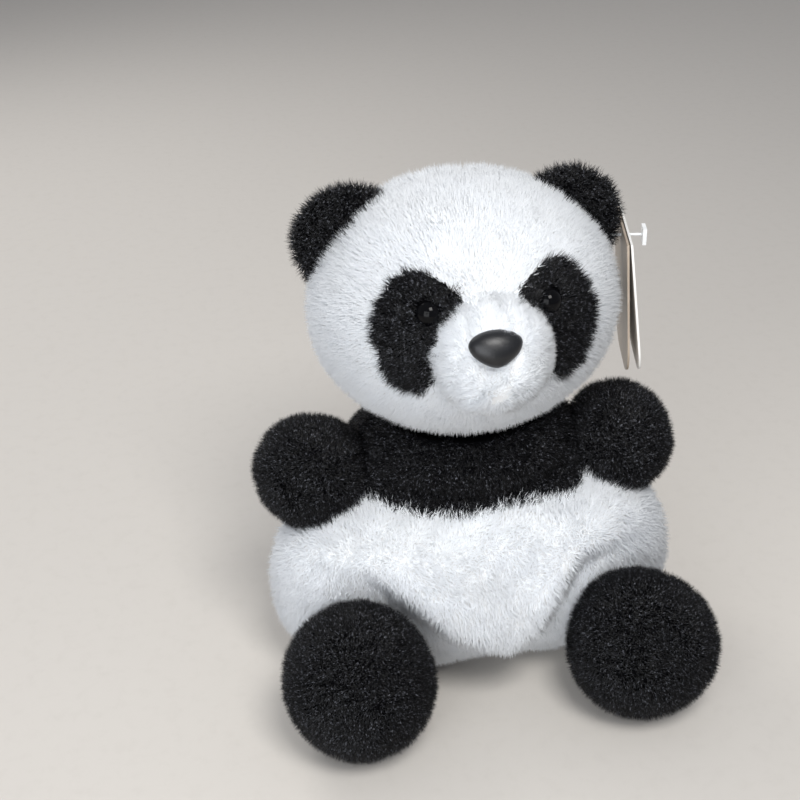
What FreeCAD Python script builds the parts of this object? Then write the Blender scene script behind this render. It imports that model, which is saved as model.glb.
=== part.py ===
"""Sitting plush panda, 13 cm tall with its pile: cloth covers, filling, face parts, ears, limbs and swing tag.

Own frame: +Z up, the face looks towards -Y, the panda's left side is +X, and the origin is on the table
under the middle. Every size is the cloth's, in millimetres; the pile stands about 3 mm proud of it.
"""
import FreeCAD, Part
import math
import os
import Sketcher

DOC = FreeCAD.newDocument("plush_panda")
VECTOR = FreeCAD.Vector
SIDES = {"left": 1, "right": -1}

# Driving sizes: alias, value. Places are the piece's middle in the part's own frame.
SIZES = [
    ("cloth", 1.0), ("fit_gap", 0.1), ("big", 160.0),
    # head: an egg wider than deep
    ("head_x", 0.0), ("head_y", 13.0), ("head_z", 93.0),
    ("head_wide", 35.5), ("head_deep", 31.2), ("head_high", 30.2),
    ("head_seam_y", 17.0),
    # muzzle: a small egg set into the face
    ("muzzle_x", 0.0), ("muzzle_y", -13.0), ("muzzle_z", 91.5),
    ("muzzle_wide", 12.6), ("muzzle_deep", 9.2), ("muzzle_high", 11.4),
    # eye patches: slanted ovals cut from black plush
    ("patch_x", 15.5), ("patch_z", 99.5), ("patch_long", 15.0), ("patch_short", 9.5), ("patch_slant", 10.0),
    # plastic eyes and nose, each held by a pressed washer
    ("eye_x", 13.5), ("eye_z", 104.0), ("eye_radius", 3.0), ("eye_height", 2.4),
    ("stem_radius", 1.2), ("stem_length", 4.6), ("stem_spare", 1.0),
    ("washer_radius", 3.6), ("washer_thick", 0.8), ("washer_back", 3.0), ("washer_room", 0.3),
    ("nose_z", 98.4), ("nose_tilt", 28.0), ("nose_thick", 3.4), ("nose_round", 1.7),
    ("nose_corner", 2.6), ("nose_corner_x", 3.3), ("nose_corner_y", 1.4),
    ("nose_tip", 2.3), ("nose_tip_y", -2.0),
    # ears: two round panels puffed into a lens
    ("ear_x", 26.0), ("ear_y", 17.0), ("ear_z", 109.5),
    ("ear_wide", 12.4), ("ear_deep", 3.4), ("ear_high", 12.4), ("ear_root_gap", 1.5),
    # neck: a wad with a round head on a short stalk
    ("neck_y", 14.0), ("neck_z", 72.0), ("neck_ball", 7.0), ("neck_stalk", 5.0), ("neck_foot_z", 54.0),
    ("neck_way", 9.0), ("neck_way_z", 48.0), ("neck_way_long", 27.0), ("neck_gap", 0.5), ("throat_long", 20.0),
    # torso: a wide seat below, a narrower black yoke above
    ("seat_x", 0.0), ("seat_y", 5.0), ("seat_z", 24.0),
    ("seat_wide", 50.5), ("seat_deep", 28.0), ("seat_high", 27.5),
    ("yoke_x", 0.0), ("yoke_y", 14.0), ("yoke_z", 50.0),
    ("yoke_wide", 31.5), ("yoke_deep", 24.0), ("yoke_high", 19.0),
    ("yoke_hem_z", 50.0), ("side_seam_y", 12.0), ("base_thick", 1.0),
    # room left for the head over its turn and nod
    ("bowl_x", 0.0), ("bowl_y", 13.5), ("bowl_z", 93.0),
    ("bowl_wide", 38.0), ("bowl_deep", 37.0), ("bowl_high", 34.5),
    # sack of plastic pellets low in the seat
    ("sack_x", 0.0), ("sack_y", 13.0), ("sack_z", 17.5),
    ("sack_wide", 26.0), ("sack_deep", 13.5), ("sack_high", 14.0), ("sack_cloth", 0.6),
    # arms: round balls sewn to the yoke's sides
    ("arm_x", 38.7), ("arm_y", 9.5), ("arm_z", 52.5),
    ("arm_wide", 12.9), ("arm_deep", 12.9), ("arm_high", 12.9),
    ("shoulder_x", 29.5), ("shoulder_turn", 20.0), ("shoulder_room", 0.6), ("limb_gap", 0.9),
    # legs: a short white sleeve from the hip to a round black foot
    ("hip_x", 29.0), ("hip_y", -5.0), ("hip_z", 15.5), ("thigh_radius", 12.0), ("leg_lift", 15.0),
    ("foot_x", 34.6), ("foot_y", -28.9), ("foot_z", 17.4),
    ("foot_wide", 16.2), ("foot_deep", 15.5), ("foot_high", 17.4),
    # swing tag: two card leaves folded at the top, hung by a nylon fastener from the left ear
    ("card_wide", 28.0), ("card_long", 36.0), ("card_thick", 0.5), ("card_round", 9.0),
    ("hole_radius", 1.3), ("hole_drop", 3.0), ("inner_lean", 3.5), ("outer_lean", 7.0), ("fold_gap", 0.35),
    ("tag_start_x", 35.6), ("tag_start_y", 17.0), ("tag_start_z", 105.0),
    ("tag_turn", 12.5), ("tag_reach", 3.82),
    ("thread_radius", 0.35), ("thread_length", 9.0), ("bar_radius", 0.5), ("bar_length", 3.4),
    ("paddle_wide", 4.0), ("paddle_long", 4.0), ("paddle_thick", 0.9), ("thread_room", 0.3),
    # blank care label sewn into the back
    ("label_wide", 12.0), ("label_long", 12.0), ("label_thick", 0.4), ("label_droop", 12.0),
    ("label_x", 12.0), ("label_y", 28.9), ("label_z", 10.0),
]
SHEET_NAME = "Sizes"


def fill_sheet():
    """Write each driving size into a cell of its own, under its alias."""
    sheet = DOC.addObject("Spreadsheet::Sheet", SHEET_NAME)
    for row, (alias, value) in enumerate(SIZES, start=1):
        sheet.set(f"A{row}", alias)
        sheet.set(f"B{row}", str(value))
        sheet.setAlias(f"B{row}", alias)
    DOC.recompute()
    return sheet


SHEET = fill_sheet()
NODES = []


def size(alias):
    """A driving size read back from the sheet, in millimetres or degrees."""
    return float(getattr(SHEET, alias))


def bind(piece, sizes):
    """Tie each property of a piece to a formula over the sheet's aliases."""
    for prop, formula in sizes.items():
        piece.setExpression(prop, formula)


def keep(piece, node):
    """Give a finished piece its node name."""
    piece.Label = node
    NODES.append(piece)
    return piece


def put(piece, place, side=1):
    """Stand a piece at the place whose aliases end in _x, _y and _z, on one side of the panda."""
    bind(piece, {
        "Placement.Base.x": f"{SHEET_NAME}.{place}_x * {side}",
        "Placement.Base.y": f"{SHEET_NAME}.{place}_y",
        "Placement.Base.z": f"{SHEET_NAME}.{place}_z",
    })
    return piece


def loose_egg(name, place, grow="0"):
    """An ellipsoid with the half sizes PLACE_wide, _deep and _high, each grown by a formula."""
    piece = DOC.addObject("Part::Ellipsoid", name)
    bind(piece, {
        "Radius1": f"({SHEET_NAME}.{place}_high + {grow}) * 1mm",
        "Radius2": f"({SHEET_NAME}.{place}_wide + {grow}) * 1mm",
        "Radius3": f"({SHEET_NAME}.{place}_deep + {grow}) * 1mm",
    })
    return piece


def egg(name, place, grow="0", side=1):
    """The same ellipsoid, standing at its own place."""
    return put(loose_egg(name, place, grow), place, side)


def block(name, low):
    """A block as large as the whole toy, with its lowest corner at the given point."""
    piece = DOC.addObject("Part::Box", name)
    bind(piece, {side: f"{SHEET_NAME}.big * 2mm" for side in ("Length", "Width", "Height")})
    piece.Placement.Base = VECTOR(*low)
    return piece


def rod(name, radius, length, start, direction):
    """A round rod from a start point along a direction; radius and length are formulas."""
    piece = DOC.addObject("Part::Cylinder", name)
    bind(piece, {"Radius": f"({radius}) * 1mm", "Height": f"({length}) * 1mm"})
    piece.Placement = FreeCAD.Placement(start, FreeCAD.Rotation(VECTOR(0, 0, 1), direction))
    return piece


def ball(name, radius, centre):
    """A ball of a formula's radius about a point."""
    piece = DOC.addObject("Part::Sphere", name)
    bind(piece, {"Radius": f"({radius}) * 1mm"})
    piece.Placement.Base = centre
    return piece


def less(name, base, *tools):
    """Cut each tool from the base in turn."""
    for number, tool in enumerate(tools, start=1):
        step = DOC.addObject("Part::Cut", f"{name}_cut_{number}")
        step.Base = base
        step.Tool = tool
        base = step
    return base


def shared(name, base, tool):
    """The volume that two pieces share."""
    piece = DOC.addObject("Part::Common", name)
    piece.Base = base
    piece.Tool = tool
    return piece


def joined(name, *pieces):
    """Several pieces fused into one solid."""
    piece = DOC.addObject("Part::MultiFuse", name)
    piece.Shapes = list(pieces)
    return piece


def plane_of(body, role):
    """An origin plane of a body, found by its role."""
    return next(feature for feature in body.Origin.OriginFeatures if feature.Role == role)


def sketch_on(body, name, role):
    """An empty sketch laid flat on one of the body's own origin planes."""
    sketch = body.newObject("Sketcher::SketchObject", name)
    sketch.AttachmentSupport = [(plane_of(body, role), "")]
    sketch.MapMode = "FlatFace"
    return sketch


def outline(sketch, corners):
    """Draw a closed outline of straight edges and join its ends."""
    count = len(corners)
    for here, there in zip(corners, corners[1:] + corners[:1]):
        sketch.addGeometry(Part.LineSegment(VECTOR(*here, 0), VECTOR(*there, 0)), False)
    for edge in range(count):
        sketch.addConstraint(Sketcher.Constraint("Coincident", edge, 2, (edge + 1) % count, 1))


def pad(body, name, sketch, length):
    """Pad a sketch by a formula over the sheet."""
    feature = body.newObject("PartDesign::Pad", name)
    feature.Profile = sketch
    bind(feature, {"Length": f"{length} * 1mm"})
    return feature


def ring_sketch(body, name, outer, inner):
    """Two circles about the middle, whose radii follow the sheet."""
    sketch = sketch_on(body, name, "XY_Plane")
    for number, radius in enumerate((outer, inner)):
        sketch.addGeometry(Part.Circle(VECTOR(0, 0, 0), VECTOR(0, 0, 1), 1.0 + number), False)
        sketch.addConstraint(Sketcher.Constraint("Coincident", number, 3, -1, 1))
        sketch.addConstraint(Sketcher.Constraint("Radius", number, 1.0 + number))
        sketch.setExpression(f"Constraints[{2 * number + 1}]", f"({radius}) * 1mm")
    return sketch


def washer(node, centre, direction):
    """Pressed washer that holds a stem from inside the cover."""
    body = DOC.addObject("PartDesign::Body", node)
    stem_hole = f"{SHEET_NAME}.stem_radius + {SHEET_NAME}.fit_gap"
    ring = ring_sketch(body, f"{node}_ring", f"{SHEET_NAME}.washer_radius", stem_hole)
    pad(body, f"{node}_plate", ring, f"{SHEET_NAME}.washer_thick")
    body.Placement = FreeCAD.Placement(centre, FreeCAD.Rotation(VECTOR(0, 0, 1), direction))
    return keep(body, node)


def shell_point(place, x, z):
    """The point of an egg's front at x and z, and the outward direction there."""
    wide, deep, high = (size(f"{place}_{word}") for word in ("wide", "deep", "high"))
    across = (x - size(f"{place}_x")) / wide
    upward = (z - size(f"{place}_z")) / high
    inward = math.sqrt(1 - across ** 2 - upward ** 2)
    point = VECTOR(x, size(f"{place}_y") - deep * inward, z)
    outward = VECTOR(across / wide, -inward / deep, upward / high)
    return point, outward.normalize()


def eye(side_name):
    """Glossy dome on a stem, with its washer and the room the two need behind the cloth."""
    point, outward = shell_point("head", size("eye_x") * SIDES[side_name], size("eye_z"))
    node = f"eye_{side_name}"
    body = DOC.addObject("PartDesign::Body", node)
    profile = sketch_on(body, f"{node}_profile", "XZ_Plane")
    radius, height = size("eye_radius"), size("eye_height")
    stem, length = size("stem_radius"), size("stem_length")
    rise = (radius ** 2 - height ** 2) / (2 * height)
    dome = Part.Circle(VECTOR(0, -rise, 0), VECTOR(0, 0, 1), height + rise)
    first = math.asin(rise / (height + rise))
    profile.addGeometry(Part.ArcOfCircle(dome, first, math.pi / 2), False)
    corners = [(0, height), (0, -length), (stem, -length), (stem, 0), (radius, 0)]
    for here, there in zip(corners, corners[1:]):
        profile.addGeometry(Part.LineSegment(VECTOR(*here, 0), VECTOR(*there, 0)), False)
    turned = body.newObject("PartDesign::Revolution", f"{node}_turned")
    turned.Profile = profile
    turned.ReferenceAxis = (profile, ["V_Axis"])
    turned.Angle = 360
    body.Placement = FreeCAD.Placement(point, FreeCAD.Rotation(VECTOR(0, 0, 1), outward))
    keep(body, node)
    washer(f"eye_washer_{side_name}", point - outward * size("washer_back"), outward)
    return stud_room(node, point, outward)


def stud_room(node, point, outward):
    """The stem's hole through the cloth, and the pocket in the filling for the stem's end and washer."""
    room = f"{SHEET_NAME}.washer_room"
    start = point - outward * (size("stem_length") + size("washer_room"))
    hole = rod(f"{node}_hole", f"{SHEET_NAME}.stem_radius + {SHEET_NAME}.fit_gap",
               f"{SHEET_NAME}.stem_length + {SHEET_NAME}.stem_spare", start, outward)
    pocket = rod(f"{node}_pocket", f"{SHEET_NAME}.washer_radius + {room}", f"{SHEET_NAME}.stem_length",
                 start, outward)
    return hole, pocket


def rounded_triangle():
    """Outline of the nose: three round corners joined by their outer tangents, as arcs and lines."""
    corner_x, corner_y, corner = size("nose_corner_x"), size("nose_corner_y"), size("nose_corner")
    tip = ((0, size("nose_tip_y")), size("nose_tip"))
    rounds = [((corner_x, corner_y), corner), ((-corner_x, corner_y), corner), tip]
    turns = []
    for (here, first), (there, second) in zip(rounds, rounds[1:] + rounds[:1]):
        span = math.dist(here, there)
        heading = math.atan2(there[1] - here[1], there[0] - here[0])
        turns.append(heading - math.pi / 2 + math.asin((first - second) / span))
    edges = []
    for number, (centre, radius) in enumerate(rounds):
        start, end = turns[number - 1], turns[number]
        end += 2 * math.pi if end < start else 0
        edges.append(Part.ArcOfCircle(Part.Circle(VECTOR(*centre, 0), VECTOR(0, 0, 1), radius), start, end))
    for number, (centre, radius) in enumerate(rounds):
        following, other = rounds[(number + 1) % len(rounds)]
        angle = turns[number]
        away = VECTOR(math.cos(angle), math.sin(angle), 0)
        edges.append(Part.LineSegment(VECTOR(*centre, 0) + away * radius, VECTOR(*following, 0) + away * other))
    return edges


def nose():
    """Moulded nose: a rounded triangle with a domed front on a stem, with its washer."""
    point, _ = shell_point("muzzle", 0, size("nose_z"))
    tilt = math.radians(size("nose_tilt"))
    outward = VECTOR(0, -math.cos(tilt), math.sin(tilt))
    body = DOC.addObject("PartDesign::Body", "nose")
    profile = sketch_on(body, "nose_outline", "XY_Plane")
    for edge in rounded_triangle():
        profile.addGeometry(edge, False)
    plate = pad(body, "nose_plate", profile, f"{SHEET_NAME}.nose_thick")
    DOC.recompute()
    front_edges = [f"Edge{number}" for number, edge in enumerate(plate.Shape.Edges, start=1)
                   if edge.BoundBox.ZMin > size("nose_thick") - 0.01]
    dome = body.newObject("PartDesign::Fillet", "nose_dome")
    dome.Base = (plate, front_edges)
    bind(dome, {"Radius": f"{SHEET_NAME}.nose_round * 1mm"})
    stem = sketch_on(body, "nose_stem_ring", "XY_Plane")
    stem.addGeometry(Part.Circle(VECTOR(0, 0, 0), VECTOR(0, 0, 1), size("stem_radius")), False)
    shank = pad(body, "nose_stem", stem, f"{SHEET_NAME}.stem_length")
    shank.Reversed = True
    up = outward.cross(VECTOR(1, 0, 0))
    turn = FreeCAD.Rotation(VECTOR(1, 0, 0), up, outward, "ZXY")
    body.Placement = FreeCAD.Placement(point, turn)
    keep(body, "nose")
    washer("nose_washer", point - outward * size("washer_back"), outward)
    return stud_room("nose", point, outward)


def patch_prism(side_name):
    """Slanted oval prism along Y that cuts an eye patch out of the face."""
    side = SIDES[side_name]
    oval = DOC.addObject("Part::Ellipse", f"patch_oval_{side_name}")
    bind(oval, {
        "MajorRadius": f"{SHEET_NAME}.patch_long * 1mm",
        "MinorRadius": f"{SHEET_NAME}.patch_short * 1mm",
    })
    upright = FreeCAD.Rotation(VECTOR(1, 0, 0), 90)
    slant = FreeCAD.Rotation(VECTOR(0, 1, 0), -90 - side * size("patch_slant"))
    place = VECTOR(size("patch_x") * side, size("head_y"), size("patch_z"))
    oval.Placement = FreeCAD.Placement(place, slant.multiply(upright))
    prism = DOC.addObject("Part::Extrusion", f"patch_prism_{side_name}")
    prism.Base = oval
    prism.Dir = VECTOR(0, -1, 0)
    prism.DirMode = "Custom"
    prism.Solid = True
    bind(prism, {"LengthFwd": f"{SHEET_NAME}.big * 1mm"})
    return prism


def head():
    """Head covers, eye patches, muzzle, face parts and filling."""
    outer = egg("head_outer", "head")
    inner = egg("head_inner", "head", f"-{SHEET_NAME}.cloth")
    bag = less("head_bag", outer, inner)
    seam = size("head_seam_y")
    front_room = block("head_front_room", (-size("big"), seam - 2 * size("big"), -size("big")))
    back_room = block("head_back_room", (-size("big"), seam, -size("big")))
    neck_way = neck_hole("head_neck_way")
    prisms = {name: patch_prism(name) for name in SIDES}
    studs = {name: eye(name) for name in SIDES}
    nose_hole, nose_pocket = nose()
    muzzle_outer = egg("muzzle_outer", "muzzle")
    muzzle_inner = egg("muzzle_inner", "muzzle", f"-{SHEET_NAME}.cloth")
    front = shared("head_front_half", bag, front_room)
    face_tools = [neck_way, *prisms.values(), muzzle_inner]
    keep(less("head_front_cover", front, *face_tools), "head_front_cover")
    keep(less("head_back_cover", shared("head_back_half", bag, back_room), neck_way), "head_back_cover")
    for name, prism in prisms.items():
        oval = shared(f"patch_blank_{name}", front, prism)
        keep(less(f"patch_{name}", oval, studs[name][0], muzzle_inner), f"eye_patch_{name}")
    muzzle_bag = less("muzzle_bag", muzzle_outer, muzzle_inner, outer)
    keep(less("muzzle", muzzle_bag, nose_hole), "muzzle_cover")
    wad = egg("muzzle_wad", "muzzle", f"-{SHEET_NAME}.cloth - {SHEET_NAME}.fit_gap")
    keep(less("muzzle_wad_clear", wad, inner, nose_pocket), "muzzle_stuffing")
    filling = egg("head_wad", "head", f"-{SHEET_NAME}.cloth - {SHEET_NAME}.fit_gap")
    socket = ball("head_socket", f"{SHEET_NAME}.neck_ball + {SHEET_NAME}.neck_gap", neck_point())
    throat = rod("head_throat", f"{SHEET_NAME}.neck_ball + {SHEET_NAME}.neck_gap", f"{SHEET_NAME}.throat_long",
                 neck_point() - VECTOR(0, 0, size("throat_long")), VECTOR(0, 0, 1))
    pockets = [pocket for _, pocket in studs.values()]
    keep(less("head_wad_clear", filling, socket, throat, nose_pocket, *pockets), "head_stuffing")


def neck_point():
    """Where the neck bends: the middle of its round head."""
    return VECTOR(0, size("neck_y"), size("neck_z"))


def neck_hole(name):
    """The round way that the neck takes through the covers of the head and the yoke."""
    start = VECTOR(0, size("neck_y"), size("neck_way_z"))
    return rod(name, f"{SHEET_NAME}.neck_way", f"{SHEET_NAME}.neck_way_long", start, VECTOR(0, 0, 1))


def neck():
    """Firm wad of fibre through the neck, with a round head that the head turns and nods on."""
    top = ball("neck_top", f"{SHEET_NAME}.neck_ball", neck_point())
    foot = VECTOR(0, size("neck_y"), size("neck_foot_z"))
    stalk = rod("neck_stalk", f"{SHEET_NAME}.neck_stalk", f"{SHEET_NAME}.neck_z - {SHEET_NAME}.neck_foot_z",
                foot, VECTOR(0, 0, 1))
    keep(joined("neck_wad", top, stalk), "neck_stuffing")
    return rod("neck_well", f"{SHEET_NAME}.neck_stalk + {SHEET_NAME}.neck_gap", f"{SHEET_NAME}.neck_z",
               foot - VECTOR(0, 0, size("neck_gap")), VECTOR(0, 0, 1))


def ear(side_name, fastener_room):
    """Two panels of an ear, with a gap at the root that lets it fold a little."""
    side = SIDES[side_name]
    lens = egg(f"ear_lens_{side_name}", "ear", side=side)
    root = egg(f"ear_root_{side_name}", "head", f"{SHEET_NAME}.ear_root_gap")
    free = less(f"ear_free_{side_name}", lens, root)
    middle = size("ear_y")
    low = {"front": middle - 2 * size("big"), "back": middle}
    for face, edge in low.items():
        room = block(f"ear_{side_name}_{face}_room", (-size("big"), edge, -size("big")))
        panel = shared(f"ear_{side_name}_{face}", free, room)
        clear = less(f"ear_{side_name}_{face}_clear", panel, fastener_room) if side > 0 else panel
        keep(clear, f"ear_{side_name}_{face}_panel")


def arm(side_name):
    """Arm ball of two panels round a wad; returns the room its swing needs in the yoke."""
    side = SIDES[side_name]
    outer = egg(f"arm_outer_{side_name}", "arm", side=side)
    inner = egg(f"arm_inner_{side_name}", "arm", f"-{SHEET_NAME}.cloth", side)
    bag = less(f"arm_bag_{side_name}", outer, inner)
    low = {"front": size("arm_y") - 2 * size("big"), "back": size("arm_y")}
    for face, edge in low.items():
        room = block(f"arm_{side_name}_{face}_room", (-size("big"), edge, -size("big")))
        keep(shared(f"arm_{side_name}_{face}", bag, room), f"arm_{side_name}_{face}_panel")
    wad = egg(f"arm_wad_{side_name}", "arm", f"-{SHEET_NAME}.cloth - {SHEET_NAME}.fit_gap", side)
    keep(wad, f"arm_{side_name}_stuffing")
    reach = f"({SHEET_NAME}.arm_x - {SHEET_NAME}.shoulder_x) * sin({SHEET_NAME}.shoulder_turn * 1deg)"
    room = egg(f"arm_room_{side_name}", "arm", f"{SHEET_NAME}.limb_gap", side)
    bind(room, {
        "Radius2": f"({SHEET_NAME}.arm_wide + {SHEET_NAME}.limb_gap + {SHEET_NAME}.shoulder_room) * 1mm",
        "Radius3": f"({SHEET_NAME}.arm_deep + {SHEET_NAME}.limb_gap + {reach}) * 1mm",
    })
    return [room]


def leg(side_name):
    """White sleeve and black foot with its filling; returns the room the leg's lift needs in the seat."""
    side = SIDES[side_name]
    hip = VECTOR(size("hip_x") * side, size("hip_y"), size("hip_z"))
    foot = VECTOR(size("foot_x") * side, size("foot_y"), size("foot_z"))
    foot_outer = egg(f"foot_outer_{side_name}", "foot", side=side)
    foot_inner = egg(f"foot_inner_{side_name}", "foot", f"-{SHEET_NAME}.cloth", side)
    keep(less(f"foot_bag_{side_name}", foot_outer, foot_inner), f"foot_{side_name}_cover")
    wad = egg(f"foot_wad_{side_name}", "foot", f"-{SHEET_NAME}.cloth - {SHEET_NAME}.fit_gap", side)
    keep(wad, f"foot_{side_name}_pellets")
    knob = ball(f"thigh_{side_name}", f"{SHEET_NAME}.thigh_radius", hip)
    keep(less(f"sleeve_{side_name}", knob, foot_outer), f"leg_{side_name}_sleeve")
    gap = f"{SHEET_NAME}.limb_gap"
    rooms = [ball(f"hip_room_{side_name}", f"{SHEET_NAME}.thigh_radius + {gap}", hip)]
    for name, angle in (("down", 0), ("up", size("leg_lift"))):
        lift = FreeCAD.Rotation(VECTOR(1, 0, 0), -angle)
        room = loose_egg(f"foot_{side_name}_room_{name}", "foot", gap)
        room.Placement = FreeCAD.Placement(hip + lift.multVec(foot - hip), lift)
        rooms.append(room)
    return rooms


def torso(limb_rooms, neck_well):
    """Yoke, belly, back and base covers round the filling and the pellet sack."""
    ground = block("above_table", (-size("big"), -size("big"), 0))
    whole = joined("torso_eggs", egg("seat_outer", "seat"), egg("yoke_outer", "yoke"))
    outer = shared("torso_outer", whole, ground)
    tight = f"-{SHEET_NAME}.cloth"
    hollow = joined("torso_hollow", egg("seat_inner", "seat", tight), egg("yoke_inner", "yoke", tight))
    raised = block("above_base", (-size("big"), -size("big"), size("base_thick")))
    inner = shared("torso_inner", hollow, raised)
    bowl = egg("head_bowl", "bowl")
    clear = less("torso_clear", less("torso_bag", outer, inner), bowl, neck_hole("yoke_neck_way"), *limb_rooms)
    hem = size("yoke_hem_z")
    above = block("above_hem", (-size("big"), -size("big"), hem))
    keep(shared("yoke_shell", clear, above), "yoke_cover")
    lower = less("seat_shell", clear, above)
    base = block("below_base", (-size("big"), -size("big"), size("base_thick") - 2 * size("big")))
    keep(shared("base_shell", lower, base), "base_panel")
    walls = less("seat_walls", lower, base)
    behind = block("behind_seam", (-size("big"), size("side_seam_y"), -size("big")))
    keep(less("belly_shell", walls, behind), "belly_cover")
    keep(shared("back_shell", walls, behind), "back_cover")
    sack_outer = egg("sack_outer", "sack")
    sack_inner = egg("sack_inner", "sack", f"-{SHEET_NAME}.sack_cloth")
    keep(less("sack_bag", sack_outer, sack_inner), "pellet_sack")
    keep(egg("sack_pellets", "sack", f"-{SHEET_NAME}.sack_cloth - {SHEET_NAME}.fit_gap"), "seat_pellets")
    sack_room = egg("sack_room", "sack", f"{SHEET_NAME}.fit_gap")
    slack = f"-{SHEET_NAME}.cloth - {SHEET_NAME}.fit_gap"
    wad = joined("torso_wad", egg("seat_wad", "seat", slack), egg("yoke_wad", "yoke", slack))
    raised_more = block("above_base_wad", (-size("big"), -size("big"), size("base_thick") + size("fit_gap")))
    filling = shared("torso_filling", wad, raised_more)
    keep(less("torso_filling_clear", filling, bowl, neck_well, *limb_rooms, sack_room), "body_stuffing")


def card(node, direction, top, lean_alias):
    """One leaf of the swing tag: square at the fold, round at the foot, with the fastener's hole."""
    body = DOC.addObject("PartDesign::Body", node)
    leaf = sketch_on(body, f"{node}_outline", "XY_Plane")
    half, long, round_off = size("card_wide") / 2, size("card_long"), size("card_round")
    leaf.addGeometry(Part.LineSegment(VECTOR(-half, 0, 0), VECTOR(half, 0, 0)), False)
    leaf.addGeometry(Part.LineSegment(VECTOR(half, 0, 0), VECTOR(half, round_off - long, 0)), False)
    right = Part.Circle(VECTOR(half - round_off, round_off - long, 0), VECTOR(0, 0, 1), round_off)
    leaf.addGeometry(Part.ArcOfCircle(right, -math.pi / 2, 0), False)
    foot = (VECTOR(half - round_off, -long, 0), VECTOR(round_off - half, -long, 0))
    leaf.addGeometry(Part.LineSegment(*foot), False)
    left = Part.Circle(VECTOR(round_off - half, round_off - long, 0), VECTOR(0, 0, 1), round_off)
    leaf.addGeometry(Part.ArcOfCircle(left, math.pi, 1.5 * math.pi), False)
    leaf.addGeometry(Part.LineSegment(VECTOR(-half, round_off - long, 0), VECTOR(-half, 0, 0)), False)
    hole = Part.Circle(VECTOR(0, -size("hole_drop"), 0), VECTOR(0, 0, 1), size("hole_radius"))
    leaf.addGeometry(hole, False)
    pad(body, f"{node}_leaf", leaf, f"{SHEET_NAME}.card_thick")
    lean = math.radians(size(lean_alias))
    along = VECTOR(-direction.y, direction.x, 0)
    upward = direction * -math.sin(lean) + VECTOR(0, 0, math.cos(lean))
    facing = along.cross(upward)
    body.Placement = FreeCAD.Placement(top, FreeCAD.Rotation(along, upward, facing, "ZXY"))
    return keep(body, node)


def tag():
    """Swing tag and its nylon fastener; returns the room the fastener needs in the ear."""
    turn = math.radians(size("tag_turn"))
    outward = VECTOR(math.cos(turn), -math.sin(turn), 0)
    start = VECTOR(size("tag_start_x"), size("tag_start_y"), size("tag_start_z"))
    hole = start + outward * size("tag_reach")
    fold = hole + VECTOR(0, 0, size("hole_drop"))
    card("tag_back_card", outward, fold, "inner_lean")
    outer_top = fold + outward * (size("card_thick") + size("fold_gap"))
    card("tag_front_card", outward, outer_top, "outer_lean")
    thread = rod("thread", f"{SHEET_NAME}.thread_radius", f"{SHEET_NAME}.thread_length", start, outward)
    bar_start = start - VECTOR(0, 0, size("bar_length") / 2)
    bar = rod("cross_bar", f"{SHEET_NAME}.bar_radius", f"{SHEET_NAME}.bar_length", bar_start, VECTOR(0, 0, 1))
    paddle = DOC.addObject("Part::Box", "paddle")
    bind(paddle, {
        "Length": f"{SHEET_NAME}.paddle_wide * 1mm",
        "Width": f"{SHEET_NAME}.paddle_long * 1mm",
        "Height": f"{SHEET_NAME}.paddle_thick * 1mm",
    })
    along = VECTOR(-outward.y, outward.x, 0)
    upright = VECTOR(0, 0, 1)
    corner = start + outward * size("thread_length") - along * (size("paddle_wide") / 2)
    corner = corner - upright * (size("paddle_long") / 2)
    paddle.Placement = FreeCAD.Placement(corner, FreeCAD.Rotation(along, upright, outward, "ZXY"))
    keep(joined("fastener", thread, bar, paddle), "tag_fastener")
    room = f"{SHEET_NAME}.thread_room"
    thread_way = rod("thread_way", f"{SHEET_NAME}.thread_radius + {room}", f"{SHEET_NAME}.thread_length",
                     start, outward)
    bar_way = rod("bar_way", f"{SHEET_NAME}.bar_radius + {room}", f"{SHEET_NAME}.bar_length + 2 * {room}",
                  bar_start - VECTOR(0, 0, size("thread_room")), VECTOR(0, 0, 1))
    return joined("fastener_room", thread_way, bar_way)


def care_label():
    """Blank woven label that stands out of the back seam and droops a little."""
    body = DOC.addObject("PartDesign::Body", "care_label")
    half, long = size("label_wide") / 2, size("label_long")
    strip = sketch_on(body, "care_label_outline", "XY_Plane")
    outline(strip, [(-half, 0), (half, 0), (half, long), (-half, long)])
    pad(body, "care_label_strip", strip, f"{SHEET_NAME}.label_thick")
    place = VECTOR(size("label_x"), size("label_y"), size("label_z"))
    body.Placement = FreeCAD.Placement(place, FreeCAD.Rotation(VECTOR(1, 0, 0), -size("label_droop")))
    keep(body, "care_label")


def build():
    """Make every piece of the panda."""
    head()
    fastener_room = tag()
    for side_name in SIDES:
        ear(side_name, fastener_room)
    neck_well = neck()
    limb_rooms = []
    for side_name in SIDES:
        limb_rooms += arm(side_name) + leg(side_name)
    torso(limb_rooms, neck_well)
    care_label()
    DOC.recompute()


def write_parts():
    """Check every object of the document, then write each node to its own file."""
    for piece in DOC.Objects:
        faults = [word for word in piece.State if word in ("Invalid", "Error")]
        if faults:
            raise RuntimeError(f"{piece.Name} ({piece.Label}) is {faults}")
    os.makedirs("parts", exist_ok=True)
    for piece in NODES:
        if piece.Shape.isNull() or not piece.Shape.isValid():
            raise RuntimeError(f"{piece.Label} has no valid shape")
    for piece in NODES:
        piece.Shape.exportStep(f"parts/{piece.Label}.step")
        print(f"{piece.Label}: {len(piece.Shape.Solids)} solid, {piece.Shape.Volume / 1000:.2f} cm3")
    print(len(NODES), "nodes")


build()
write_parts()
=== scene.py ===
"""Looks of the sitting plush panda: pile laid strand by strand over stuffed covers, face parts and swing tag.

Lengths are in metres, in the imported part's own frame: +Z up, the face looks towards -Y, the panda's left is +X.
"""
import logging
import math
from collections.abc import Callable
from dataclasses import dataclass, field
from enum import Enum, IntEnum

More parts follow.
